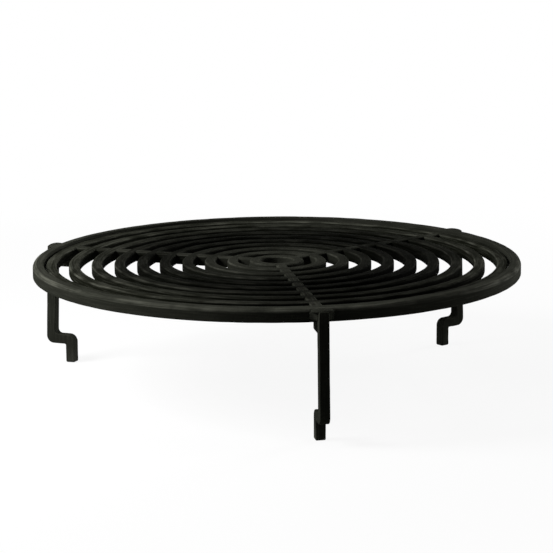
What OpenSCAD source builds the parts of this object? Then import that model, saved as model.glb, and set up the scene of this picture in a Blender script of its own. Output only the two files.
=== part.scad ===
// Round three-legged grill grate. A loose grid of concentric bars lies in a
// rim that stands on three cranked legs, with a rest at each leg to carry it.
// Millimetres. The origin is on the rings' common axis, level with the feet.

/* [Rim] */
// Outer diameter of the rim
rim_d = 500; // [420:10:600]
// Width of the rim bar along the radius
rim_w = 11.25; // [9:0.25:14]
// Height of the rim bar
rim_h = 13.5; // [12.5:0.5:18]
// Rounding of the rim's top outer edge
rim_top_r = 4.5; // [2:0.5:7]
// Height of the rim's top edge above the feet
stand_h = 129; // [100:1:180]

/* [Grid] */
// Width of a grid bar along the radius
ring_w = 11; // [8:0.5:13]
// Height of a grid bar
ring_h = 11; // [8:0.5:12]
// Number of rings
ring_count = 10; // [6:1:12]
// Radius of the opening in the innermost ring
eye_r = 16.75; // [12:0.25:25]
// Width of a spoke bar
spoke_w = 11; // [8:0.5:13]
// Free gap between the grid and the rim
grid_play = 2.25; // [1.5:0.25:4]
// Rounding of the edges of the grid bars and of the rim's small edges
bar_edge_r = 2; // [0.5:0.1:3]

/* [Rests] */
// How far a rest reaches in under the outermost ring
rest_reach = 5; // [3.5:0.5:7]
// Height of a rest
rest_h = 11; // [8:0.5:14]

/* [Legs] */
// Side of the square leg bar
leg_s = 10; // [8:0.5:12]
// Outer rounding of the crank's two bends
heel_r = 6; // [2:0.5:9]
// Inner rounding between the upper leg bar and the crank
crank_fillet_r = 5; // [1:0.5:8]
// Inner rounding between the crank and the stub
stub_fillet_r = 1.5; // [0.5:0.5:4]
// Outward lean of the upper leg bar, in degrees
leg_lean = 2; // [0.5:0.5:6]
// How far the leg's top end lies below the rim's top
leg_top_drop = 2; // [1.5:0.5:5]
// How far the upper leg bar stands outside the stub, middle to middle
crank_reach = 22.5; // [16:0.5:40]
// Length of the stub below the crank's shoulder
stub_len = 20; // [14:1:40]
// Leg length of the weld fillet between leg and rim
weld_leg = 7.5; // [4:0.5:9]

/* [Hidden] */
$fn = 96;
SIDES = ["front", "right", "left"];
// Compass angle of the front leg. It keeps the three legs' box centred on the axis
front_angle = -75;
rim_r = rim_d / 2;
rim_in_r = rim_r - rim_w;
rim_z = stand_h - rim_h;

grid_r = rim_in_r - grid_play;
ring_pitch = (grid_r - ring_w - eye_r) / (ring_count - 1);

// The leg in side view: the upper bar leans out from the rim to the crank.
// fit_gap parts its top from the rim, for the weld to fill
fit_gap = 0.5;
leg_top_z = stand_h - leg_top_drop;
crank_top_z = stub_len + leg_s;
lean_way = [cos(leg_lean), sin(leg_lean)];
reach_z = stub_len + leg_s / 2;
stub_x = leg_out_x(reach_z) - leg_s / 2 / cos(leg_lean) - crank_reach;
stub_in_x = stub_x - leg_s / 2;
stub_out_x = stub_x + leg_s / 2;
// How much further than the corner a corner's web goes
web_over = 1.2;

// Weld between leg and rim, from just above the rim's lower edge up
weld_end = 1;
weld_low_z = rim_z + bar_edge_r + weld_end;
weld_top_z = leg_top_z - weld_end;
cut = 1;

function ring_out_r(k) = grid_r - (k - 1) * ring_pitch;
function ring_in_r(k) = ring_out_r(k) - ring_w;
function ring_mid_r(k) = ring_out_r(k) - ring_w / 2;
function ring_name(k) = str("ring_", k < 10 ? "0" : "", k);
function side_angle(i) = front_angle + 120 * i;
// Distances of the leg's inner and outer face from the axis, at a height
function leg_face_x(z) = rim_r + fit_gap + (leg_top_z - z) * tan(leg_lean);
function leg_out_x(z) = leg_face_x(z) + leg_s / cos(leg_lean);

// Section of a bar with rounded edges, centred on its axis
module bar_section(w, h, r) {
    square([w - 2 * r, h], center = true);
    square([w, h - 2 * r], center = true);
    for (x = [-1, 1], y = [-1, 1])
        translate([x * (w / 2 - r), y * (h / 2 - r)]) circle(r);
}

// Section of the rim bar, at its place beside the axis
module rim_section() {
    mid = rim_r - rim_w / 2;
    half = rim_h / 2;
    intersection() {
        translate([mid, rim_z + half]) bar_section(rim_w, rim_h, bar_edge_r);
        union() {
            translate([rim_in_r, rim_z]) square([rim_w - rim_top_r, rim_h]);
            translate([rim_in_r, rim_z]) square([rim_w, rim_h - rim_top_r]);
            translate([rim_r - rim_top_r, stand_h - rim_top_r]) circle(rim_top_r);
        }
    }
}

module rim() {
    color([0.11, 0.11, 0.10]) rotate_extrude() rim_section();
}

// Turns a piece drawn along +X to one of the three legs' directions
module at_side(i) {
    rotate([0, 0, side_angle(i)]) children();
}

// The area between a corner and the arc that rounds it. first and second
// point from the arc's middle to where it meets the corner's two sides
module corner_web(middle, r, first, second) {
    corner = (first + second) / (1 + first * second);
    difference() {
        polygon([middle, middle + r * first, middle + r * web_over * corner, middle + r * second]);
        translate(middle) circle(r);
    }
}

// Side view of a leg, X outward and Y up: upper bar, crank and stub
module leg_outline() {
    crank_fillet_z = crank_top_z + crank_fillet_r;
    crank_fillet_x = leg_face_x(crank_fillet_z) - crank_fillet_r / cos(leg_lean);
    heel_z = stub_len + heel_r;
    heel_x = leg_out_x(heel_z) - heel_r / cos(leg_lean);
    difference() {
        union() {
            polygon([
                [leg_face_x(leg_top_z), leg_top_z], [leg_out_x(leg_top_z), leg_top_z],
                [leg_out_x(stub_len), stub_len], [stub_out_x, stub_len], [stub_out_x, 0],
                [stub_in_x, 0], [stub_in_x, crank_top_z], [leg_face_x(crank_top_z), crank_top_z]
            ]);
            corner_web([crank_fillet_x, crank_fillet_z], crank_fillet_r, lean_way, [0, -1]);
            corner_web([stub_out_x + stub_fillet_r, stub_len - stub_fillet_r], stub_fillet_r, [-1, 0], [0, 1]);
        }
        corner_web([heel_x, heel_z], heel_r, lean_way, [0, -1]);
        corner_web([stub_in_x + heel_r, crank_top_z - heel_r], heel_r, [-1, 0], [0, 1]);
    }
}

// Weld metal in the corners between the leg and the rim's outer face
module leg_weld() {
    deep = rim_w / 2;
    sunk = leg_s / 4;
    wide = leg_s / 2 + weld_leg + deep;
    difference() {
        translate([0, 0, weld_low_z]) linear_extrude(weld_top_z - weld_low_z) polygon([
            [rim_r - deep, -wide], [rim_r + weld_leg + sunk, sunk - leg_s / 2],
            [rim_r + weld_leg + sunk, leg_s / 2 - sunk], [rim_r - deep, wide]
        ]);
        cylinder(r = rim_r, h = stand_h, $fn = 4 * $fn);
    }
}

module leg(i) {
    color([0.10, 0.10, 0.09]) at_side(i) {
        translate([0, leg_s / 2, 0]) rotate([90, 0, 0]) linear_extrude(leg_s) leg_outline();
        leg_weld();
    }
}

// A stub of bar under the rim, from the leg's inner face in under the grid
module grid_rest(i) {
    inner = grid_r - rest_reach;
    low = rim_z - rest_h;
    color([0.10, 0.10, 0.09]) at_side(i) intersection() {
        translate([inner, 0, low + rest_h / 2]) rotate([0, 90, 0])
            linear_extrude(rim_r) bar_section(rest_h, leg_s, bar_edge_r);
        translate([0, leg_s, 0]) rotate([90, 0, 0]) linear_extrude(2 * leg_s) polygon([
            [inner, low], [leg_face_x(low), low], [leg_face_x(rim_z), rim_z], [inner, rim_z]
        ]);
    }
}

// One ring of the grid, counted from the outside
module ring(k) {
    color([0.12, 0.12, 0.11]) rotate_extrude()
        translate([ring_mid_r(k), rim_z + ring_h / 2]) bar_section(ring_w, ring_h, bar_edge_r);
}

// The space that a ring takes up, for cutting the spokes to length
module ring_room(k) {
    translate([0, 0, rim_z - cut]) difference() {
        cylinder(r = ring_out_r(k), h = ring_h + 2 * cut);
        translate([0, 0, -cut]) cylinder(r = ring_in_r(k), h = ring_h + 4 * cut);
    }
}

// A row of short bars that ties the rings together along one radius
module spoke(i) {
    start = ring_mid_r(ring_count);
    color([0.12, 0.12, 0.11]) at_side(i) difference() {
        translate([start, 0, rim_z + ring_h / 2]) rotate([0, 90, 0])
            linear_extrude(ring_mid_r(1) - start) bar_section(ring_h, spoke_w, bar_edge_r);
        for (k = [1:ring_count]) ring_room(k);
    }
}

rim();
for (i = [0:2]) {
    leg(i);
    grid_rest(i);
    spoke(i);
}
for (k = [1:ring_count]) {
    ring(k);
}
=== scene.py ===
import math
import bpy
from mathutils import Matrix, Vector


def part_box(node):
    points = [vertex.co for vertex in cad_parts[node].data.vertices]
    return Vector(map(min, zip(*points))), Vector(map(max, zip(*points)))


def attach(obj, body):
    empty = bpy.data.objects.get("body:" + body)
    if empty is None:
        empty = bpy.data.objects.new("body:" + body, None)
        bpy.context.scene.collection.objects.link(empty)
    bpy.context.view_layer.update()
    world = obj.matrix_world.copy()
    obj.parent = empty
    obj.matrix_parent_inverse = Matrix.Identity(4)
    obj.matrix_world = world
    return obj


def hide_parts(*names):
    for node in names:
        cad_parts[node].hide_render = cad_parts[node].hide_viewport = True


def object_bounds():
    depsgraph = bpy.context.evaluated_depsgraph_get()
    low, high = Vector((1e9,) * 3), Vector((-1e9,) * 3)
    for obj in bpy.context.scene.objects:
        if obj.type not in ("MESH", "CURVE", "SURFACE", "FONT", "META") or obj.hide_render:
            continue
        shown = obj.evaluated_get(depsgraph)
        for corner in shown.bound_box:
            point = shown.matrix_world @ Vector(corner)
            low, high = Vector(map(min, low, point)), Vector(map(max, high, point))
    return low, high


bl_info = {
    "name": "Round grill grate",
    "version": (1, 0, 0),
    "blender": (4, 5, 0),
    "location": "View3D > Sidebar > Grate",
    "description": "Dresses a round three-legged grill grate: rim, loose ring grid, cranked legs and welds",
    "category": "Object",
}

import bmesh
import bpy
from bpy.props import FloatProperty, FloatVectorProperty, IntProperty, PointerProperty
from mathutils import Matrix, Vector, noise

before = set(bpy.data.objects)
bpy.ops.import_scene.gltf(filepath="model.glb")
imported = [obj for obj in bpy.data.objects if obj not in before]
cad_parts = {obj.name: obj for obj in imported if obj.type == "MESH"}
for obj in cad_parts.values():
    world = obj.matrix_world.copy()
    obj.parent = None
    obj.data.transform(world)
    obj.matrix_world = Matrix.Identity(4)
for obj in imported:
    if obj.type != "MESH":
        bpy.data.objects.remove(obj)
CAD_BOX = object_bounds()

MM = 0.001
SIDES = ("front", "right", "left")
UP = Vector((0, 0, 1))

# Camera sensor in millimetres, and the width of the picture that the focal length is given for
SENSOR_WIDTH = 36.0
PICTURE_PIXELS = 553

# Faces round the rim and over its rounded edges, and the number and length of faces along a ring
RIM_SEGMENTS = 384
RIM_CORNER_STEPS = 6
RING_SEGMENTS_LEAST = 72
RING_FACE_LENGTH = 4.5 * MM

# Steps along the straights and bends of a leg, along a spoke bar and along a rest
LEG_STRAIGHT_STEPS = 12
LEG_BEND_STEPS = 8
SPOKE_STEPS = 6
REST_STEPS = 8

# Width of the shallow dents in each kind of bar, and their depth in spokes and rests against the others
RIM_DENTS = 16 * MM
RING_DENTS = 14 * MM
LEG_DENTS = 10 * MM
SHORT_BAR_DENTS = 9 * MM
SPOKE_DENT_SHARE = 0.5
REST_DENT_SHARE = 0.6

# Scale and detail of the paint's noises
STREAK_NOISE = 1.0, 3.0
GRAIN_NOISE = 800.0, 4.0
PIT_NOISE = 330.0, 2.0
PATCH_NOISE = 30.0, 3.0

# Half the floor's side, its drop below the feet, and the lamps. Each lamp has a name, a compass
# angle, a height angle, a distance, a size and a power setting
FLOOR_HALF = 30
FLOOR_DROP = 0.05 * MM
LAMP_AIM = Vector((0, 0, 0.1))
LAMPS = (
    ("Key light", 199, 37, 1.2, 0.5, "key_power"),
    ("Side light", 10, 5, 2.1, 0.8, "side_power"),
    ("Back light", 45, 8, 2.1, 0.8, "back_power"),
    ("Top light", 90, 82, 2.1, 1.2, "top_power"),
)


def node_radii(node):
    """Smallest and largest distance of a CAD node's points from the upright axis."""
    reach = [math.hypot(v.co.x, v.co.y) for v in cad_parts[node].data.vertices]
    return min(reach), max(reach)


def node_heights(node):
    """Lowest and highest point of a CAD node."""
    low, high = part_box(node)
    return low[2], high[2]


def leg_ways(side):
    """Directions outward through a leg and sideways to it, from the middle of its CAD node."""
    low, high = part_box("leg_" + side)
    turn = math.atan2(low[1] + high[1], low[0] + high[0])
    return Vector((math.cos(turn), math.sin(turn), 0)), Vector((-math.sin(turn), math.cos(turn), 0))


def even_marks(start, end, steps):
    """Evenly spaced numbers from the start to the end."""
    return [start + (end - start) * i / steps for i in range(steps + 1)]


def ring_nodes():
    """The grid's rings, from the outside in."""
    return sorted(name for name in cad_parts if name.startswith("ring_"))


# Sizes and colours


class GrateSizes(bpy.types.PropertyGroup):
    """Sizes that the frame's boxes don't give."""

    bar_rounding: FloatProperty(
        name="Bar rounding", description="Rounding of the long edges of ring and spoke bars",
        default=2 * MM, min=0.2 * MM, max=3 * MM, unit="LENGTH", precision=4)
    rim_rounding: FloatProperty(
        name="Rim rounding", description="Rounding of the rim's top outer edge",
        default=4.5 * MM, min=1 * MM, max=9 * MM, unit="LENGTH", precision=4)
    rim_edge: FloatProperty(
        name="Rim edge", description="Rounding of the rim's other edges",
        default=0.7 * MM, min=0.2 * MM, max=3 * MM, unit="LENGTH", precision=4)
    spoke_width: FloatProperty(
        name="Spoke width", description="Width of a spoke bar",
        default=11 * MM, min=6 * MM, max=14 * MM, unit="LENGTH", precision=4)
    leg_bar: FloatProperty(
        name="Leg bar", description="Side of the square bar that the legs are bent from",
        default=10 * MM, min=6 * MM, max=14 * MM, unit="LENGTH", precision=4)
    leg_rounding: FloatProperty(
        name="Leg rounding", description="Rounding of the leg bar's long edges",
        default=0.9 * MM, min=0.3 * MM, max=3 * MM, unit="LENGTH", precision=4)
    heel_radius: FloatProperty(
        name="Heel radius", description="Outer rounding of the crank's two bends",
        default=8 * MM, min=1 * MM, max=9 * MM, unit="LENGTH", precision=4)
    crank_fillet: FloatProperty(
        name="Crank fillet", description="Inner rounding between the upper leg bar and the crank",
        default=5 * MM, min=1 * MM, max=8 * MM, unit="LENGTH", precision=4)
    stub_fillet: FloatProperty(
        name="Stub fillet", description="Inner rounding between the crank and the stub",
        default=1.5 * MM, min=0.3 * MM, max=4 * MM, unit="LENGTH", precision=4)
    leg_lean: FloatProperty(
        name="Leg lean", description="Outward lean of the upper leg bar",
        default=math.radians(2), min=0, max=math.radians(8), subtype="ANGLE")
    leg_gap: FloatProperty(
        name="Leg gap", description="Gap between the leg bar's top and the rim, filled by weld metal",
        default=0.5 * MM, min=0, max=2 * MM, unit="LENGTH", precision=4)
    stub_length: FloatProperty(
        name="Stub length", description="Height of the crank's shoulder above the feet",
        default=20 * MM, min=10 * MM, max=50 * MM, unit="LENGTH", precision=4)
    crank_reach: FloatProperty(
        name="Crank reach", description="How far the upper leg bar stands outside the stub, middle to middle",
        default=22.5 * MM, min=12 * MM, max=40 * MM, unit="LENGTH", precision=4)
    weld_leg: FloatProperty(
        name="Weld leg", description="Leg length of the welds between leg and rim",
        default=7.5 * MM, min=2 * MM, max=9 * MM, unit="LENGTH", precision=4)
    weld_crown: FloatProperty(
        name="Weld crown", description="Half the height of the flat weld over a leg's top",
        default=2.3 * MM, min=1 * MM, max=5 * MM, unit="LENGTH", precision=4)
    foot_wear: FloatProperty(
        name="Foot wear", description="Height above the feet up to which the stubs are rubbed",
        default=19 * MM, min=1 * MM, max=20 * MM, unit="LENGTH", precision=4)
    # The front foot's much stronger rub is painted light, standing in for light thrown up from the floor; on
    # the other feet the rub is wear.
    foot_rub_and_light: FloatVectorProperty(
        name="Foot rub and light", description="How strongly the feet of the front, right and left leg are rubbed",
        default=(4.0, 0.8, 0.8), size=3, min=0, max=8)
    small_weld: FloatProperty(
        name="Small weld", description="Leg length of the welds at the rests and between rings and spokes",
        default=1.8 * MM, min=0.5 * MM, max=5 * MM, unit="LENGTH", precision=4)
    # The rim's rubbed band and flat top share paint wear and a highlight along the rounded top edge.
    rubbed_lit_band: FloatProperty(
        name="Rubbed and lit band", description="Depth of the rim's rubbed top edge",
        default=4.3 * MM, min=0, max=8 * MM, unit="LENGTH", precision=4)
    rim_top_rub_and_light: FloatProperty(
        name="Rubbed and lit rim top", description="How far the rim's flat top is rubbed, against its rounded edge",
        default=0.18, min=0, max=1, subtype="FACTOR")
    # The grid's rubbed tops are partly wear and partly painted highlight for the light on the tops.
    rubbed_and_lit_top: FloatProperty(
        name="Rubbed and lit top", description="How far the grid's top faces are rubbed, against their edges",
        default=0.3, min=0, max=1, subtype="FACTOR")
    dent_depth: FloatProperty(
        name="Dent depth", description="Deepest hollow of the uneven bar faces",
        default=0.25 * MM, min=0, max=1 * MM, unit="LENGTH", precision=5)
    corner_steps: IntProperty(
        name="Corner steps", description="Faces round each rounded edge",
        default=4, min=2, max=10)


class GrateColours(bpy.types.PropertyGroup):
    """Colours of the paint."""

    frame_paint: FloatVectorProperty(
        name="Frame paint", description="Black heat-resistant paint of rim, legs and rests",
        default=(0.0175, 0.0183, 0.0143), size=3, min=0, max=1, subtype="COLOR")
    # The grid paint is the frame's black made darker: painted shade on the rings and spokes.
    grid_paint: FloatVectorProperty(
        name="Grid paint", description="Darker, shaded paint of the rings and spokes",
        default=(0.0033, 0.0036, 0.0023), size=3, min=0, max=1, subtype="COLOR")
    frame_bloom: FloatVectorProperty(
        name="Frame bloom", description="Pale bloom along the streaks of rim, legs and rests",
        default=(0.038, 0.0395, 0.031), size=3, min=0, max=1, subtype="COLOR")
    grid_bloom: FloatVectorProperty(
        name="Grid bloom", description="Pale bloom along the streaks of rings and spokes",
        default=(0.026, 0.027, 0.0212), size=3, min=0, max=1, subtype="COLOR")
    # The edge colour is partly worn paint and partly painted highlight on edges that catch the light.
    scuff_and_highlight: FloatVectorProperty(
        name="Scuff", description="Rubbed paint along the edges",
        default=(0.075, 0.0765, 0.062), size=3, min=0, max=1, subtype="COLOR")


class StageSizes(bpy.types.PropertyGroup):
    """Camera, placed round the middle of the rim's top, and the strength of the lights."""

    azimuth: FloatProperty(
        name="Camera azimuth", description="Turn of the camera round the upright axis",
        default=math.radians(5.6), subtype="ANGLE")
    elevation: FloatProperty(
        name="Camera elevation", description="Height angle of the camera",
        default=math.radians(10.92), subtype="ANGLE")
    distance: FloatProperty(
        name="Camera distance", description="Distance from the middle of the rim's top",
        default=2.25, min=0.5, max=10, unit="LENGTH")
    pan: FloatProperty(
        name="Camera pan", description="Aim to the left of the upright axis",
        default=math.radians(0.012), subtype="ANGLE")
    tilt: FloatProperty(
        name="Camera tilt", description="Aim below the level",
        default=math.radians(11.426), subtype="ANGLE")
    roll: FloatProperty(
        name="Camera roll", description="Turn of the picture about its middle",
        default=math.radians(-0.402), subtype="ANGLE")
    focal_pixels: FloatProperty(
        name="Focal length", description="Focal length in pixels of the picture's width",
        default=2186, min=300, max=9000)
    key_power: FloatProperty(
        name="Key light", description="Power of the soft light at the left, in watts",
        default=18, min=0, max=1000, unit="POWER")
    side_power: FloatProperty(
        name="Side light", description="Power of the soft light at the right, in watts",
        default=17, min=0, max=1000, unit="POWER")
    back_power: FloatProperty(
        name="Back light", description="Power of the low soft light at the right and behind, in watts",
        default=44, min=0, max=1000, unit="POWER")
    top_power: FloatProperty(
        name="Top light", description="Power of the soft light above, in watts",
        default=7, min=0, max=1000, unit="POWER")
    ambient: FloatProperty(
        name="Ambient", description="Strength of the even light from all sides",
        default=0.01, min=0, max=2)


# Mesh helpers


def rounded_section(width, height, radii, steps):
    """Closed outline of a bar as (across, up, edge) points about its middle.

    radii are the roundings at lower right, upper right, upper left and lower left.
    edge is 1 in the middle of a rounding and 0 on the flats.
    """
    corners = ((1, -1, -90), (1, 1, 0), (-1, 1, 90), (-1, -1, 180))
    points = []
    for (side, level, start), radius in zip(corners, radii):
        middle_x = side * (width / 2 - radius)
        middle_y = level * (height / 2 - radius)
        for step in range(steps + 1):
            share = step / steps
            angle = math.radians(start + 90 * share)
            edge = math.sin(math.pi * share)
            points.append((
                middle_x + radius * math.cos(angle), middle_y + radius * math.sin(angle), edge))
    return points


def ramp(value, start, end):
    """0 up to the start, 1 from the end on and an even rise between them."""
    return min(1, max(0, (value - start) / (end - start)))


def rub_and_light_top(section, height, share):
    """The outline with its top face rubbed by a share and its lower edges left as painted.
    The lighter top is partly wear and partly painted highlight, for the light that falls on the tops.
    """
    near_top = height / 2 - 0.3 * MM
    return [(x, y, max(edge, share) if y > near_top else edge * (y > 0)) for x, y, edge in section]


def rub_and_light_rim(section, width, height, sizes):
    """The rim's outline, rubbed over its rounded edge, less on its flat top and least at its sharp edges.
    The lighter rounded edge is partly wear and partly painted highlight, where the edge catches the light.
    """
    band = height / 2 - sizes.rubbed_lit_band
    flat_end = width / 2 - sizes.rim_rounding
    band_fade, flat_fade = 1 * MM, 1.5 * MM
    sharp_edge = 0.1
    rubbed = []
    for x, y, edge in section:
        rounded = ramp(x, flat_end, flat_end + flat_fade)
        level = ramp(y, band, band + band_fade) * (sizes.rim_top_rub_and_light + (1 - sizes.rim_top_rub_and_light) * rounded)
        rubbed.append((x, y, max(sharp_edge * edge, level)))
    return rubbed


def new_mesh():
    """An empty mesh whose points carry an edge value for the scuffed paint and its painted highlights."""
    mesh_data = bmesh.new()
    mesh_data.verts.layers.float.new("edge")
    return mesh_data


def add_point(mesh_data, place, edge):
    """A point with its edge value."""
    vert = mesh_data.verts.new(place)
    vert[mesh_data.verts.layers.float["edge"]] = edge
    return vert


def skin(mesh_data, rows, closed_rows):
    """Faces between neighbouring rows of points. Each row is a closed outline."""
    count = len(rows[0])
    for i in range(len(rows) if closed_rows else len(rows) - 1):
        here, there = rows[i], rows[(i + 1) % len(rows)]
        for j in range(count):
            k = (j + 1) % count
            mesh_data.faces.new((here[j], there[j], there[k], here[k]))
    if not closed_rows:
        mesh_data.faces.new(rows[0])
        mesh_data.faces.new(list(reversed(rows[-1])))


def dent(mesh_data, depth, size):
    """Sink the surface by soft noise, never outward, as on hand-worked bar."""
    bmesh.ops.recalc_face_normals(mesh_data, faces=mesh_data.faces)
    mesh_data.normal_update()
    for vert in mesh_data.verts:
        vert.co -= vert.normal * (depth * max(0, noise.noise(vert.co / size)))


def new_piece(name, mesh_data, material, body, replaced):
    """Make the object for a finished mesh and tie it to the CAD."""
    bmesh.ops.recalc_face_normals(mesh_data, faces=mesh_data.faces)
    mesh = bpy.data.meshes.new(name)
    mesh_data.to_mesh(mesh)
    mesh_data.free()
    mesh.materials.append(material)
    mesh.shade_smooth()
    piece = bpy.data.objects.new(name, mesh)
    bpy.context.scene.collection.objects.link(piece)
    weighting = piece.modifiers.new("Flat faces lead", "WEIGHTED_NORMAL")
    weighting.keep_sharp = True
    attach(piece, body)
    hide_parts(*replaced)


def add_round_bar(mesh_data, radius_mid, height_mid, section, segments):
    """A bar section turned once round the upright axis."""
    rows = []
    for i in range(segments):
        turn = 2 * math.pi * i / segments
        outward = Vector((math.cos(turn), math.sin(turn), 0))
        rows.append([
            add_point(mesh_data, outward * (radius_mid + x) + UP * (height_mid + y), edge)
            for x, y, edge in section
        ])
    skin(mesh_data, rows, True)


def add_swept_bar(mesh_data, stations, section, half, cap, last_cap=None):
    """A bar section carried along stations of (place, across, up), with rounded ends.

    half is half the section's width. cap and last_cap are the roundings of the two ends.
    """
    quarter = [math.radians(a) for a in (90, 60, 30)]
    way_in = (stations[1][0] - stations[0][0]).normalized()
    way_out = (stations[-1][0] - stations[-2][0]).normalized()
    rows = []

    def add_row(place, across, up, inset, ended):
        """One outline of the bar, drawn in by the inset."""
        shrink = (half - inset) / half
        rows.append([
            add_point(mesh_data, place + across * (x * shrink) + up * (y * shrink), max(edge, ended))
            for x, y, edge in section
        ])

    def add_end(station, inward, rounding, angles):
        """The outlines of a rounded end."""
        place, across, up = station
        for t in angles:
            inset = rounding * (1 - math.cos(t))
            add_row(place + inward * (rounding * (1 - math.sin(t))), across, up, inset, math.sin(2 * t))

    add_end(stations[0], way_in, cap, quarter)
    for place, across, up in stations[1:-1]:
        add_row(place, across, up, 0, 0)
    add_end(stations[-1], -way_out, last_cap or cap, reversed(quarter))
    skin(mesh_data, rows, False)


def add_bead(mesh_data, start, end, first_way, second_way, leg):
    """A hollow-faced weld bead along a corner, with faint ripples.

    first_way and second_way point from the corner along the two faces that it joins, and leg is
    how far it reaches along each.
    """
    sunk = 0.3 * MM
    step_length = 0.5 * MM
    ripple_length = 1.6 * MM
    ripple_depth = 0.07
    blunt_end = 0.25
    hollow_steps = 6
    faint_rub = 0.1
    length = (end - start).length
    count = max(6, round(length / step_length))
    rows = []
    for i in range(count + 1):
        share = i / count
        taper = (1 - abs(2 * share - 1) ** 6) ** 0.5 if 0 < i < count else blunt_end
        ripple = 1 - ripple_depth * (0.5 + 0.5 * math.cos(2 * math.pi * length * share / ripple_length))
        size = leg * taper * ripple
        corner = start.lerp(end, share)
        row = [add_point(mesh_data, corner - (first_way + second_way) * sunk, 0)]
        for step in range(hollow_steps + 1):
            straight = step / hollow_steps
            angle = math.pi / 2 * straight
            hollow_x = 0.5 * (1 - math.sin(angle)) + 0.5 * (1 - straight)
            hollow_y = 0.5 * (1 - math.cos(angle)) + 0.5 * straight
            out_x = first_way * (size * hollow_x - sunk * straight)
            out_y = second_way * (size * hollow_y - sunk * (1 - straight))
            row.append(add_point(mesh_data, corner + out_x + out_y, faint_rub))
        rows.append(row)
    skin(mesh_data, rows, False)


def add_lump(mesh_data, middle, axes):
    """A lump of weld metal: a ball stretched along three axes."""
    half_rubbed = 0.5
    shape = Matrix(axes).transposed().to_4x4()
    made = bmesh.ops.create_uvsphere(
        mesh_data, u_segments=32, v_segments=16, radius=1, matrix=Matrix.Translation(middle) @ shape)
    for vert in made["verts"]:
        vert[mesh_data.verts.layers.float["edge"]] = half_rubbed


# Paint


def new_group(name, inputs, outputs):
    """An empty shader node group with named sockets."""
    group = bpy.data.node_groups.new(name, "ShaderNodeTree")
    for label, kind in inputs:
        group.interface.new_socket(label, in_out="INPUT", socket_type=kind)
    for label, kind in outputs:
        group.interface.new_socket(label, in_out="OUTPUT", socket_type=kind)
    return group, group.nodes.new("NodeGroupInput"), group.nodes.new("NodeGroupOutput")


def add_noise(tree, coordinates, scale, detail):
    """A noise texture on the given coordinates."""
    texture = tree.nodes.new("ShaderNodeTexNoise")
    texture.inputs["Scale"].default_value = scale
    texture.inputs["Detail"].default_value = detail
    tree.links.new(coordinates, texture.inputs["Vector"])
    return texture


def add_range(tree, value, low, high, to_low=0.0, to_high=1.0):
    """A value stretched from one range to another, which stops at the ends."""
    stretch = tree.nodes.new("ShaderNodeMapRange")
    for label, number in (("From Min", low), ("From Max", high), ("To Min", to_low), ("To Max", to_high)):
        stretch.inputs[label].default_value = number
    tree.links.new(value, stretch.inputs["Value"])
    return stretch.outputs["Result"]


def add_math(tree, operation, first, second):
    """A math node. Each term is a number or a socket."""
    node = tree.nodes.new("ShaderNodeMath")
    node.operation = operation
    for socket, term in zip(node.inputs, (first, second)):
        if isinstance(term, (int, float)):
            socket.default_value = term
        else:
            tree.links.new(term, socket)
    return node.outputs["Value"]


def add_product(tree, *terms):
    """The product of two or more numbers or sockets."""
    product = terms[0]
    for term in terms[1:]:
        product = add_math(tree, "MULTIPLY", product, term)
    return product


def add_mix(tree, share, first, second):
    """A colour mix of two colour sockets."""
    node = tree.nodes.new("ShaderNodeMix")
    node.data_type = "RGBA"
    tree.links.new(share, node.inputs["Factor"])
    tree.links.new(first, node.inputs[6])
    tree.links.new(second, node.inputs[7])
    return node.outputs[2]


def add_place(tree):
    """Object coordinates, their three parts and the distance from the upright axis."""
    place = tree.nodes.new("ShaderNodeTexCoord").outputs["Object"]
    parts = tree.nodes.new("ShaderNodeSeparateXYZ")
    tree.links.new(place, parts.inputs[0])
    x, y, z = parts.outputs
    square = add_math(tree, "ADD", add_product(tree, x, x), add_product(tree, y, y))
    radius = add_math(tree, "SQRT", square, 0)
    return place, x, y, z, radius


def make_soot_and_shade():
    """Darkening of the grid: partly a sooty coat, partly painted shade.

    The sooty coat is thick half-way out, burnt off in the middle and thin at the outermost ring.
    The grid is also painted darker toward +X, the side away from the key light, and at the front of
    the outer rings, where the tops catch less of the light from the left: that is painted shade.
    Each range below is where a change starts and ends, and the values there.
    """
    group, entry, result = new_group(
        "Soot",
        (("Color", "NodeSocketColor"), ("Amount", "NodeSocketFloat")),
        (("Color", "NodeSocketColor"),),
    )
    thinner_outside = 150 * MM, 212 * MM, 0.36, 1.8
    burnt_inside = 122 * MM, 53 * MM, 0.40, 1.0
    # The next four ranges are painted shade: darker toward +X, away from the key light, on the rings between
    # two radii, and at the front of the outer rings.
    right_side_shade = -100 * MM, 80 * MM, 0.0, 0.42
    right_shade_inner_limit = 65 * MM, 100 * MM, 0.0, 1.0
    right_shade_outer_limit = 215 * MM, 180 * MM, 0.0, 1.0
    front_ring_shade = 130 * MM, 200 * MM, 0.0, 0.6
    front_x, front_y = 0.4, -0.92
    _, x, y, _, radius = add_place(group)
    outside = add_range(group, radius, *thinner_outside)
    inside = add_range(group, radius, *burnt_inside)
    from_inside = add_range(group, radius, *right_shade_inner_limit)
    from_outside = add_range(group, radius, *right_shade_outer_limit)
    band = add_math(group, "MINIMUM", from_inside, from_outside)
    # Painted shade toward +X and at the front, taken off the tone below.
    right_shade = add_product(group, add_range(group, x, *right_side_shade), band)
    forward = add_math(group, "ADD", add_product(group, x, front_x), add_product(group, y, front_y))
    before = add_range(group, forward, *front_ring_shade)
    unshaded_share = add_math(group, "SUBTRACT", 1.0, add_math(group, "MAXIMUM", right_shade, before))
    tone = add_product(group, add_math(group, "MAXIMUM", outside, inside), unshaded_share)
    change = add_product(group, add_math(group, "SUBTRACT", tone, 1.0), entry.outputs["Amount"])
    scale = group.nodes.new("ShaderNodeVectorMath")
    scale.operation = "SCALE"
    group.links.new(entry.outputs["Color"], scale.inputs[0])
    group.links.new(add_math(group, "ADD", change, 1.0), scale.inputs["Scale"])
    group.links.new(scale.outputs[0], result.inputs["Color"])
    return group


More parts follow.
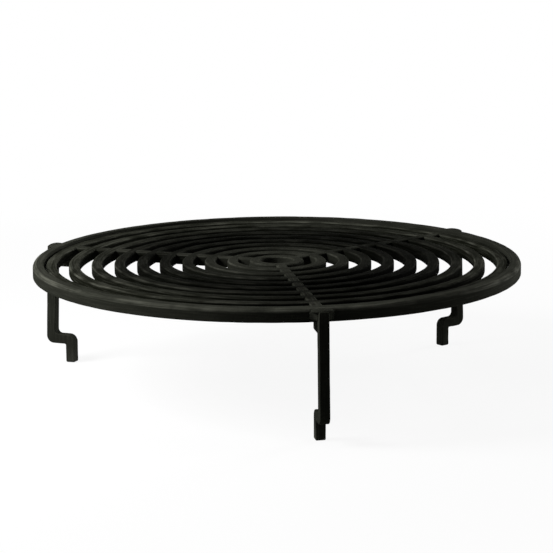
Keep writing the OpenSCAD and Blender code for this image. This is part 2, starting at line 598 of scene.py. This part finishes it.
def make_drawn_skin():
    """Skin of painted drawn bar: streaks along the bar, fine grain and pits.

    Baked is how far the heat pales the paint near the object's axis. Turn, Radius and Height
    are how quickly the streaks change round that axis, away from it and upward.
    """
    group, entry, result = new_group(
        "Drawn skin",
        (("Paint", "NodeSocketColor"), ("Bloom", "NodeSocketColor"), ("Baked", "NodeSocketFloat"),
         ("Turn", "NodeSocketFloat"), ("Radius", "NodeSocketFloat"), ("Height", "NodeSocketFloat")),
        (("Color", "NodeSocketColor"), ("Streak", "NodeSocketFloat"), ("Relief", "NodeSocketFloat")),
    )
    heat_end, heat_full = 120 * MM, 20 * MM
    place, x, y, z, radius = add_place(group)
    along = group.nodes.new("ShaderNodeCombineXYZ")
    for socket, flat in zip(along.inputs, (x, y)):
        share = add_math(group, "DIVIDE", flat, radius)
        group.links.new(add_product(group, share, entry.outputs["Turn"]), socket)
    group.links.new(add_product(group, radius, entry.outputs["Radius"]), along.inputs[2])
    streaks = add_noise(group, along.outputs[0], *STREAK_NOISE)
    streaks.noise_dimensions = "4D"
    group.links.new(add_product(group, z, entry.outputs["Height"]), streaks.inputs["W"])
    streak = streaks.outputs["Fac"]
    grain = add_noise(group, place, *GRAIN_NOISE).outputs["Fac"]
    pits = add_range(group, add_noise(group, place, *PIT_NOISE).outputs["Fac"], 0.58, 0.72)
    grainy = add_range(group, grain, 0.35, 0.65, 0.3, 0.9)
    drawn = add_product(group, add_range(group, streak, 0.46, 0.76), grainy)
    heat = add_product(group, add_range(group, radius, heat_end, heat_full), entry.outputs["Baked"])
    paled = add_product(group, heat, add_range(group, grain, 0.30, 0.60, 0.7, 1.0))
    bloom = add_math(group, "MAXIMUM", drawn, paled)
    raised = add_math(group, "ADD", grain, add_product(group, streak, 1.6))
    relief = add_math(group, "SUBTRACT", raised, add_product(group, pits, 0.8))
    colour = add_mix(group, bloom, entry.outputs["Paint"], entry.outputs["Bloom"])
    group.links.new(colour, result.inputs["Color"])
    group.links.new(streak, result.inputs["Streak"])
    group.links.new(relief, result.inputs["Relief"])
    return group


def make_edge_scuff_and_highlight():
    """Paint rubbed thin along the edges, broken up by the bar's streaks and by patches.
    The lighter edges are partly wear and partly painted highlight, where rounded edges catch the light.
    """
    group, entry, result = new_group(
        "Edge scuff",
        (("Color", "NodeSocketColor"), ("Scuff", "NodeSocketColor"), ("Streak", "NodeSocketFloat"),
         ("Amount", "NodeSocketFloat")),
        (("Color", "NodeSocketColor"), ("Mask", "NodeSocketFloat")),
    )
    place = group.nodes.new("ShaderNodeTexCoord").outputs["Object"]
    edge = group.nodes.new("ShaderNodeAttribute")
    edge.attribute_name = "edge"
    spots = add_noise(group, place, *PATCH_NOISE).outputs["Fac"]
    patches = add_range(group, spots, 0.38, 0.62, 0.25, 1.35)
    broken = add_product(group, patches, add_range(group, entry.outputs["Streak"], 0.34, 0.62, 0.25, 1.3))
    mask = add_product(group, edge.outputs["Fac"], broken, entry.outputs["Amount"])
    colour = add_mix(group, mask, entry.outputs["Color"], entry.outputs["Scuff"])
    group.links.new(colour, result.inputs["Color"])
    group.links.new(mask, result.inputs["Mask"])
    return group


def add_shared(tree, make, name, values):
    """A shared node group with its own input values. The group is built on first use."""
    node = tree.nodes.new("ShaderNodeGroup")
    node.node_tree = bpy.data.node_groups.get(name) or make()
    for label, value in values.items():
        node.inputs[label].default_value = value
    return node


def make_paint(name, colours, soot_and_shade, baked, streaks, scuff_and_highlight_amount, rough):
    """A black paint on the three shared groups, with its own colours, sooty darkening and painted shade,
    streaks, and scuffed edges with painted highlights.

    It hardly mirrors, because the white surroundings would lift the tops at a grazing view.
    """
    mirroring = 0.004
    rubbed_smoother = 0.2
    relief_depth = 0.20 * MM
    relief_strength = 0.6
    paint, bloom = colours
    material = bpy.data.materials.new(name)
    material.use_nodes = True
    tree = material.node_tree
    shader = tree.nodes["Principled BSDF"]
    turn, radius, height = streaks
    drawn = add_shared(tree, make_drawn_skin, "Drawn skin", {
        "Paint": (*paint, 1), "Bloom": (*bloom, 1), "Baked": baked,
        "Turn": turn, "Radius": radius, "Height": height})
    scuff_and_highlight = add_shared(tree, make_edge_scuff_and_highlight, "Edge scuff", {
        "Scuff": (*bpy.context.scene.grate_colours.scuff_and_highlight, 1), "Amount": scuff_and_highlight_amount})
    sooted_and_shaded = add_shared(tree, make_soot_and_shade, "Soot", {"Amount": soot_and_shade})
    tree.links.new(drawn.outputs["Color"], scuff_and_highlight.inputs["Color"])
    tree.links.new(drawn.outputs["Streak"], scuff_and_highlight.inputs["Streak"])
    tree.links.new(scuff_and_highlight.outputs["Color"], sooted_and_shaded.inputs["Color"])
    tree.links.new(sooted_and_shaded.outputs["Color"], shader.inputs["Base Color"])
    roughness = add_range(tree, scuff_and_highlight.outputs["Mask"], 0.0, 1.0, rough, rough - rubbed_smoother)
    tree.links.new(roughness, shader.inputs["Roughness"])
    bump = tree.nodes.new("ShaderNodeBump")
    bump.inputs["Strength"].default_value = relief_strength
    bump.inputs["Distance"].default_value = relief_depth
    tree.links.new(drawn.outputs["Relief"], bump.inputs["Height"])
    tree.links.new(bump.outputs["Normal"], shader.inputs["Normal"])
    shader.inputs["Specular IOR Level"].default_value = mirroring
    return material


def paint_of(name):
    """The named paint, made on first use.

    Each recipe has the two colours, the sooty darkening with its painted shade, the baking, how
    quickly the streaks change round the axis, away from it and upward, the scuffing with its painted
    highlight and the roughness.
    """
    colours = bpy.context.scene.grate_colours
    on_frame = colours.frame_paint, colours.frame_bloom
    on_grid = colours.grid_paint, colours.grid_bloom
    recipes = {
        "Rim paint": (on_frame, 0.0, 0.0, (8, 700, 700), 0.68, 0.85),
        "Ring paint": (on_grid, 1.0, 0.75, (8, 700, 700), 0.37, 0.85),
        "Spoke paint": (on_grid, 0.5, 0.8, (100, 40, 700), 0.33, 0.85),
        "Leg paint": (on_frame, 0.0, 0.0, (210, 700, 40), 0.20, 0.80),
        "Rest paint": (on_frame, 0.0, 0.0, (210, 60, 700), 0.15, 0.85),
    }
    return bpy.data.materials.get(name) or make_paint(name, *recipes[name])


# Pieces


class GRATE_OT_rim(bpy.types.Operator):
    """Turn the rim bar with its rounded top outer edge"""

    bl_idname = "grate.rim"
    bl_label = "Rim"

    def execute(self, context):
        sizes = context.scene.grate_sizes
        inner, outer = node_radii("rim")
        low, high = node_heights("rim")
        width, height = outer - inner, high - low
        small = sizes.rim_edge
        section = rounded_section(width, height, (small, sizes.rim_rounding, small, small), RIM_CORNER_STEPS)
        section = rub_and_light_rim(section, width, height, sizes)
        mesh_data = new_mesh()
        add_round_bar(mesh_data, (inner + outer) / 2, (low + high) / 2, section, RIM_SEGMENTS)
        dent(mesh_data, sizes.dent_depth, RIM_DENTS)
        new_piece("rim_bar", mesh_data, paint_of("Rim paint"), "frame", ["rim"])
        return {"FINISHED"}


class GRATE_OT_rings(bpy.types.Operator):
    """Turn the grid's rings"""

    bl_idname = "grate.rings"
    bl_label = "Grid rings"

    def execute(self, context):
        sizes = context.scene.grate_sizes
        for node in ring_nodes():
            inner, outer = node_radii(node)
            low, high = node_heights(node)
            section = rounded_section(outer - inner, high - low, [sizes.bar_rounding] * 4, sizes.corner_steps)
            section = rub_and_light_top(section, high - low, sizes.rubbed_and_lit_top)
            mesh_data = new_mesh()
            segments = max(RING_SEGMENTS_LEAST, round(2 * math.pi * outer / RING_FACE_LENGTH))
            add_round_bar(mesh_data, (inner + outer) / 2, (low + high) / 2, section, segments)
            dent(mesh_data, sizes.dent_depth, RING_DENTS)
            new_piece(node + "_bar", mesh_data, paint_of("Ring paint"), "grid", [node])
        return {"FINISHED"}


class GRATE_OT_spokes(bpy.types.Operator):
    """Lay the short bars between the rings, with a weld in each corner"""

    bl_idname = "grate.spokes"
    bl_label = "Spokes"

    def execute(self, context):
        sizes = context.scene.grate_sizes
        rings = [node_radii(node) for node in ring_nodes()]
        low, high = node_heights(ring_nodes()[0])
        below_rings, end_rounding = 0.1 * MM, 0.2 * MM
        height = high - low - below_rings
        width = sizes.spoke_width
        section = rounded_section(width, height, [sizes.bar_rounding] * 4, sizes.corner_steps)
        section = rub_and_light_top(section, height, 2 * sizes.rubbed_and_lit_top)
        for side in SIDES:
            outward, sideways = leg_ways(side)
            mesh_data = new_mesh()
            for (gap_end, _), (_, gap_start) in zip(rings, rings[1:]):
                start, end = gap_start - sizes.bar_rounding, gap_end + sizes.bar_rounding
                stations = [
                    (outward * mark + UP * ((low + high) / 2), sideways, UP)
                    for mark in even_marks(start, end, SPOKE_STEPS)]
                add_swept_bar(mesh_data, stations, section, width / 2, end_rounding)
                self.add_welds(mesh_data, outward, sideways, (gap_start, gap_end), (low, high), sizes)
            dent(mesh_data, sizes.dent_depth * SPOKE_DENT_SHARE, SHORT_BAR_DENTS)
            new_piece(
                "spoke_bars_" + side, mesh_data, paint_of("Spoke paint"),
                "grid", ["spoke_" + side])
        return {"FINISHED"}

    def add_welds(self, mesh_data, outward, sideways, gap, levels, sizes):
        """Upright welds in the four corners between a spoke bar and its two rings."""
        above_bottom, below_top = 0.8 * MM, 5 * MM
        low, high = levels[0] + above_bottom, levels[1] - below_top
        half = sizes.spoke_width / 2
        for hand in (-1, 1):
            for radius, way in zip(gap, (1, -1)):
                corner = outward * math.sqrt(radius ** 2 - half ** 2) + sideways * (hand * half)
                add_bead(
                    mesh_data, corner + UP * low, corner + UP * high,
                    sideways * hand, outward * way, sizes.small_weld)


def straight_points(start, end):
    """Evenly spaced points after the start, up to the end."""
    return [start.lerp(end, k / LEG_STRAIGHT_STEPS) for k in range(1, LEG_STRAIGHT_STEPS + 1)]


def rounded_line(corners, radii):
    """Points along a line through corners in the plane, with the inner corners rounded.

    Every straight and every bend has the same number of points, so that a leg's two sides match.
    """
    points = [Vector(corners[0])]
    for i, radius in enumerate(radii, 1):
        before, corner, after = (Vector(corners[i + k]) for k in (-1, 0, 1))
        way_in, way_out = (corner - before).normalized(), (after - corner).normalized()
        turn = way_in.angle_signed(way_out)
        setback = radius * math.tan(abs(turn) / 2)
        first, last = corner - way_in * setback, corner + way_out * setback
        points += straight_points(points[-1], first)
        middle = first + Vector((-way_in.y, way_in.x)) * math.copysign(radius, -turn)
        for k in range(1, LEG_BEND_STEPS):
            reach = first - middle
            reach.rotate(Matrix.Rotation(-turn * k / LEG_BEND_STEPS, 2))
            points.append(middle + reach)
        points.append(last)
    return points + straight_points(points[-1], Vector(corners[-1]))


def leg_sides(sizes, rim_outer, top_height):
    """Axis side and outer side of a leg as matching points (distance from the axis, height)."""
    bar, slope = sizes.leg_bar, math.tan(sizes.leg_lean)
    wide = bar / math.cos(sizes.leg_lean)
    shoulder = sizes.stub_length
    crank_top = shoulder + bar

    def face(height):
        """Distance of the upper bar's axis side from the upright axis."""
        return rim_outer + sizes.leg_gap + (top_height - height) * slope

    stub = face(shoulder + bar / 2) + wide / 2 - sizes.crank_reach
    stub_near, stub_far = stub - bar / 2, stub + bar / 2
    near = [
        (face(top_height), top_height), (face(crank_top), crank_top),
        (stub_near, crank_top), (stub_near, 0)]
    far = [
        (face(top_height) + wide, top_height), (face(shoulder) + wide, shoulder),
        (stub_far, shoulder), (stub_far, 0)]
    near_side = rounded_line(near, (sizes.crank_fillet, sizes.heel_radius))
    far_side = rounded_line(far, (sizes.heel_radius, sizes.stub_fillet))
    return zip(near_side, far_side)


class GRATE_OT_legs(bpy.types.Operator):
    """Bend the legs and weld them to the rim"""

    bl_idname = "grate.legs"
    bl_label = "Legs"

    def execute(self, context):
        sizes = context.scene.grate_sizes
        bar = sizes.leg_bar
        top_rounding, foot_rounding = 2 * MM, 1.5 * MM
        section = rounded_section(bar, bar, [sizes.leg_rounding] * 4, sizes.corner_steps)
        for side, foot_rub_and_light in zip(SIDES, sizes.foot_rub_and_light):
            outward, sideways = leg_ways(side)
            top_height = node_heights("leg_" + side)[1]
            stations = []
            for near, far in leg_sides(sizes, node_radii("rim")[1], top_height):
                middle = (near + far) / 2
                across = (far - near) / bar
                stations.append((
                    outward * middle.x + UP * middle.y, outward * across.x + UP * across.y, sideways))
            mesh_data = new_mesh()
            add_swept_bar(mesh_data, stations, section, bar / 2, top_rounding, foot_rounding)
            self.add_welds(mesh_data, outward, sideways, top_height, sizes)
            self.rub_and_light_foot(mesh_data, foot_rub_and_light, sizes.foot_wear)
            dent(mesh_data, sizes.dent_depth, LEG_DENTS)
            new_piece(
                "leg_bar_" + side, mesh_data, paint_of("Leg paint"),
                "frame", ["leg_" + side])
        return {"FINISHED"}

    def add_welds(self, mesh_data, outward, sideways, top_height, sizes):
        """A bead at each side of the leg, and a flat weld over its top."""
        rim_outer = node_radii("rim")[1]
        rim_low, rim_high = node_heights("rim")
        half = sizes.leg_bar / 2
        above_bottom, below_top = 1.5 * MM, 0.5 * MM
        low, high = rim_low + above_bottom, top_height - below_top
        for hand in (-1, 1):
            corner = outward * math.sqrt(rim_outer ** 2 - half ** 2) + sideways * (hand * half)
            add_bead(
                mesh_data, corner + UP * low, corner + UP * high, sideways * hand, outward, sizes.weld_leg)
        outward_reach = 1.5 * half
        sideways_reach = half + 0.8 * sizes.weld_leg
        middle_radius = rim_outer + 0.4 * half
        middle_height = rim_high - 0.2 * MM - sizes.weld_crown
        add_lump(
            mesh_data, outward * middle_radius + UP * middle_height,
            (outward * outward_reach, sideways * sideways_reach, UP * sizes.weld_crown))

    def rub_and_light_foot(self, mesh_data, strength, wear_height):
        """Rub the lower half of the worn height fully, and the upper half less and less.
        The strong rub on the front foot is painted light, for the light that the floor throws up on it.
        """
        edge = mesh_data.verts.layers.float["edge"]
        for vert in mesh_data.verts:
            if vert.co.z < wear_height:
                vert[edge] = max(vert[edge], strength * min(1, 2 - 2 * vert.co.z / wear_height))


class GRATE_OT_rests(bpy.types.Operator):
    """Set the stubs of bar under the rim that carry the grid"""

    bl_idname = "grate.rests"
    bl_label = "Grid rests"

    def execute(self, context):
        sizes = context.scene.grate_sizes
        rim_inner, rim_outer = node_radii("rim")
        weld_inset, end_rounding = 1 * MM, 0.8 * MM
        weld_start, weld_end = rim_inner + weld_inset, rim_outer - weld_inset
        bar = sizes.leg_bar
        for side in SIDES:
            outward, sideways = leg_ways(side)
            inner, outer = node_radii("rest_" + side)
            low, high = node_heights("rest_" + side)
            section = rounded_section(high - low, bar, [sizes.bar_rounding] * 4, sizes.corner_steps)
            stations = [
                (outward * mark + UP * ((low + high) / 2), UP, sideways)
                for mark in even_marks(inner, outer, REST_STEPS)]
            mesh_data = new_mesh()
            add_swept_bar(mesh_data, stations, section, bar / 2, end_rounding)
            for hand in (-1, 1):
                corner = sideways * (hand * bar / 2) + UP * high
                add_bead(
                    mesh_data, corner + outward * weld_start, corner + outward * weld_end,
                    sideways * hand, -UP, sizes.small_weld)
            dent(mesh_data, sizes.dent_depth * REST_DENT_SHARE, SHORT_BAR_DENTS)
            new_piece(
                "rest_bar_" + side, mesh_data, paint_of("Rest paint"),
                "frame", ["rest_" + side])
        return {"FINISHED"}


# Stage


def add_seen(tree, *kinds):
    """1 for rays of the given kinds and 0 for all others."""
    rays = tree.nodes.new("ShaderNodeLightPath")
    seen = rays.outputs[kinds[0]]
    for kind in kinds[1:]:
        seen = add_math(tree, "MAXIMUM", seen, rays.outputs[kind])
    return seen


def make_floor_material():
    """Pale floor that renders white to the camera and keeps a soft shadow.

    Its white is a little less near the object, where the shadow shows. It throws little light
    back on the object, and from below it is clear.
    """
    shade_seen, shade_hidden = 0.9, 0.25
    shadow_near, shadow_end, white_near = 0.30, 1.1, 0.90
    material = bpy.data.materials.new("Pale floor")
    material.use_nodes = True
    tree = material.node_tree
    tree.nodes.clear()
    output = tree.nodes.new("ShaderNodeOutputMaterial")
    seen = add_seen(tree, "Is Camera Ray", "Is Glossy Ray")
    lit = tree.nodes.new("ShaderNodeBsdfDiffuse")
    tone = tree.nodes.new("ShaderNodeCombineColor")
    brightness = add_range(tree, seen, 0.0, 1.0, shade_hidden, shade_seen)
    for socket in tone.inputs[:3]:
        tree.links.new(brightness, socket)
    tree.links.new(tone.outputs[0], lit.inputs["Color"])
    white = tree.nodes.new("ShaderNodeEmission")
    place = tree.nodes.new("ShaderNodeTexCoord").outputs["Object"]
    reach = tree.nodes.new("ShaderNodeVectorMath")
    reach.operation = "LENGTH"
    tree.links.new(place, reach.inputs[0])
    plain = add_range(tree, reach.outputs["Value"], shadow_near, shadow_end, white_near, 1.0)
    share = add_product(tree, seen, plain)
    front = tree.nodes.new("ShaderNodeMixShader")
    tree.links.new(share, front.inputs[0])
    tree.links.new(lit.outputs[0], front.inputs[1])
    tree.links.new(white.outputs[0], front.inputs[2])
    below = tree.nodes.new("ShaderNodeBsdfTransparent")
    sides = tree.nodes.new("ShaderNodeNewGeometry")
    both = tree.nodes.new("ShaderNodeMixShader")
    tree.links.new(sides.outputs["Backfacing"], both.inputs[0])
    tree.links.new(front.outputs[0], both.inputs[1])
    tree.links.new(below.outputs[0], both.inputs[2])
    tree.links.new(both.outputs[0], output.inputs["Surface"])
    return material


def from_side(compass, height, distance):
    """A place round the object from a compass angle, a height angle and a distance."""
    turn, rise = math.radians(compass), math.radians(height)
    flat = math.cos(rise) * distance
    return Vector((math.cos(turn) * flat, math.sin(turn) * flat, math.sin(rise) * distance))


def add_lamp(name, place, target, size, power):
    """A soft round light that faces the target."""
    lamp = bpy.data.lights.new(name, "AREA")
    lamp.shape = "DISK"
    lamp.size = size
    lamp.energy = power
    holder = bpy.data.objects.new(name, lamp)
    facing = (target - place).to_track_quat("-Z", "Y").to_matrix().to_4x4()
    holder.matrix_world = Matrix.Translation(place) @ facing
    bpy.context.scene.collection.objects.link(holder)


class GRATE_OT_stage(bpy.types.Operator):
    """Place the camera, the floor, the lights and the white surroundings"""

    bl_idname = "grate.stage"
    bl_label = "Stage"

    def execute(self, context):
        self.add_camera(context)
        self.add_floor()
        self.add_lights(context)
        return {"FINISHED"}

    def add_camera(self, context):
        """The camera at its fitted place and aim."""
        stage = context.scene.stage_sizes
        turn = stage.azimuth
        flat = math.cos(stage.elevation)
        away = Vector((math.sin(turn) * flat, -math.cos(turn) * flat, math.sin(stage.elevation)))
        place = UP * CAD_BOX[1][2] + stage.distance * away
        heading = turn + stage.pan
        right = Vector((math.cos(heading), math.sin(heading), 0))
        level = Vector((-math.sin(heading), math.cos(heading), 0))
        forward = level * math.cos(stage.tilt) - UP * math.sin(stage.tilt)
        up = right.cross(forward)
        rolled_right = right * math.cos(stage.roll) + up * math.sin(stage.roll)
        rolled_up = up * math.cos(stage.roll) - right * math.sin(stage.roll)
        axes = Matrix((rolled_right, rolled_up, -forward)).transposed().to_4x4()
        data = bpy.data.cameras.new("Camera")
        data.sensor_width = SENSOR_WIDTH
        data.lens = stage.focal_pixels / PICTURE_PIXELS * SENSOR_WIDTH
        data.clip_end = 100
        camera = bpy.data.objects.new("Camera", data)
        camera.matrix_world = Matrix.Translation(place) @ axes
        context.scene.collection.objects.link(camera)
        context.scene.camera = camera

    def add_floor(self):
        """The floor, just under the feet."""
        mesh_data = bmesh.new()
        bmesh.ops.create_grid(mesh_data, x_segments=1, y_segments=1, size=FLOOR_HALF)
        mesh = bpy.data.meshes.new("Floor")
        mesh_data.to_mesh(mesh)
        mesh_data.free()
        mesh.materials.append(make_floor_material())
        floor = bpy.data.objects.new("Floor", mesh)
        floor.location.z = CAD_BOX[0][2] - FLOOR_DROP
        bpy.context.scene.collection.objects.link(floor)

    def add_lights(self, context):
        """The lamps, and surroundings that are white to the camera and dim to the object."""
        stage = context.scene.stage_sizes
        for name, compass, height, distance, size, power in LAMPS:
            add_lamp(name, from_side(compass, height, distance), LAMP_AIM, size, getattr(stage, power))
        world = context.scene.world or bpy.data.worlds.new("World")
        context.scene.world = world
        world.use_nodes = True
        tree = world.node_tree
        tree.nodes.clear()
        output = tree.nodes.new("ShaderNodeOutputWorld")
        background = tree.nodes.new("ShaderNodeBackground")
        seen = add_seen(tree, "Is Camera Ray", "Is Glossy Ray", "Is Transmission Ray")
        tree.links.new(add_range(tree, seen, 0.0, 1.0, stage.ambient, 1.0), background.inputs["Strength"])
        tree.links.new(background.outputs[0], output.inputs["Surface"])


class GRATE_PT_panel(bpy.types.Panel):
    """Buttons and sizes of the grate"""

    bl_label = "Grill grate"
    bl_idname = "GRATE_PT_panel"
    bl_space_type = "VIEW_3D"
    bl_region_type = "UI"
    bl_category = "Grate"

    def draw(self, context):
        layout = self.layout
        for step in STEPS:
            layout.operator(step.bl_idname)
        for group in (context.scene.grate_sizes, context.scene.grate_colours, context.scene.stage_sizes):
            column = layout.column()
            for label in group.__annotations__:
                column.prop(group, label)


STEPS = (GRATE_OT_stage, GRATE_OT_rim, GRATE_OT_rings, GRATE_OT_spokes, GRATE_OT_legs, GRATE_OT_rests)
CLASSES = (GrateSizes, GrateColours, StageSizes, *STEPS, GRATE_PT_panel)


def register():
    """Register the classes and hang the settings on the scene."""
    for item in CLASSES:
        bpy.utils.register_class(item)
    bpy.types.Scene.grate_sizes = PointerProperty(type=GrateSizes)
    bpy.types.Scene.grate_colours = PointerProperty(type=GrateColours)
    bpy.types.Scene.stage_sizes = PointerProperty(type=StageSizes)


def unregister():
    """Take the settings and the classes away again."""
    del bpy.types.Scene.stage_sizes
    del bpy.types.Scene.grate_colours
    del bpy.types.Scene.grate_sizes
    for item in reversed(CLASSES):
        bpy.utils.unregister_class(item)


def main():
    bpy.context.scene.view_settings.view_transform = "Standard"
    register()
    bpy.ops.grate.stage()
    bpy.ops.grate.rim()
    bpy.ops.grate.rings()
    bpy.ops.grate.spokes()
    bpy.ops.grate.legs()
    bpy.ops.grate.rests()


if __name__ == "__main__":
    main()
